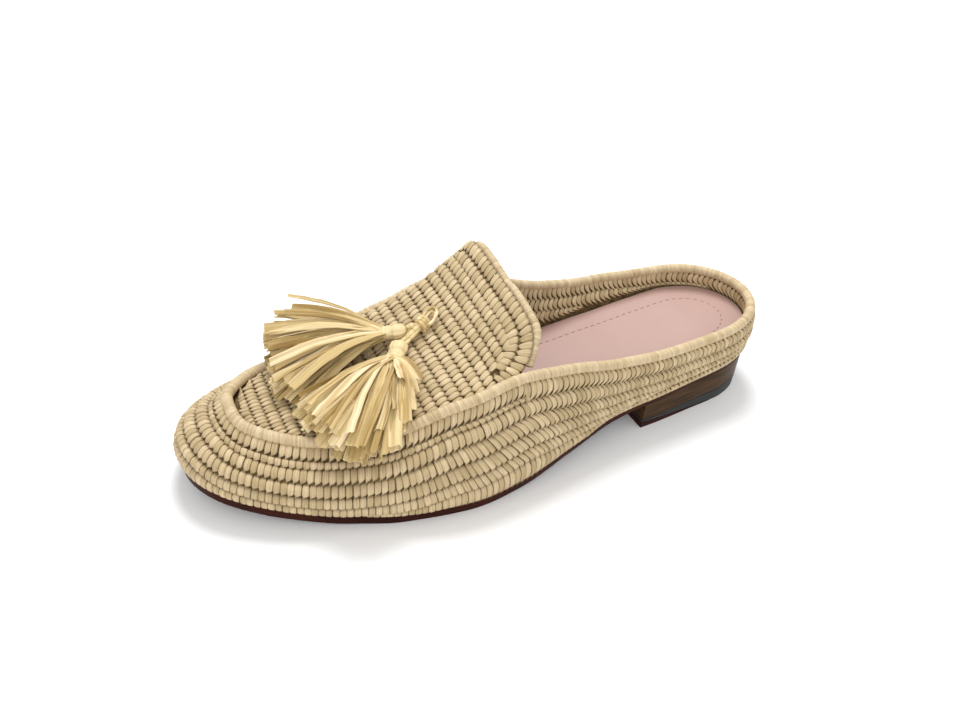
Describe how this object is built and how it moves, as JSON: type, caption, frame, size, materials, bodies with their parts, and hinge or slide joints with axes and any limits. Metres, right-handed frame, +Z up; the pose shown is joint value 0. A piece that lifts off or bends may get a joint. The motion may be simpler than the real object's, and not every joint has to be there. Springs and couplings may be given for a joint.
{
  "type": "raffia mule",
  "caption": "Backless loafer-style mule in crocheted raffia with a raised tab, seamed apron, pair of tassels, padded leather footbed and low stacked heel.",
  "frame": {"origin": "on the floor, under the middle of the shoe's bounding box", "axes": "+X towards the toe, +Y towards the outer side of this left shoe, +Z up from the floor"},
  "size_m": [0.2606, 0.098, 0.0675],
  "materials": {
    "raffia": "matt natural raffia, crocheted",
    "raffia_cord": "matt natural raffia, wrapped",
    "raffia_tassel": "pale natural raffia with a slight sheen",
    "footbed_leather": "smooth dusty pink leather",
    "sole_leather": "polished dark red-brown leather",
    "heel_leather": "polished brown stacked leather",
    "heel_rubber": "matt black rubber"
  },
  "bodies": {
    "root": {"upper": "raffia", "edge_cord": "raffia_cord", "tab_cord": "raffia_cord", "insole": "footbed_leather", "outsole": "sole_leather", "heel_block": "heel_leather", "heel_lift_rear": "heel_rubber", "heel_lift_front": "sole_leather", "tassel_inner": "raffia_tassel", "tassel_outer": "raffia_tassel", "tassel_tie": "raffia_tassel"}
  },
  "joints": []
}
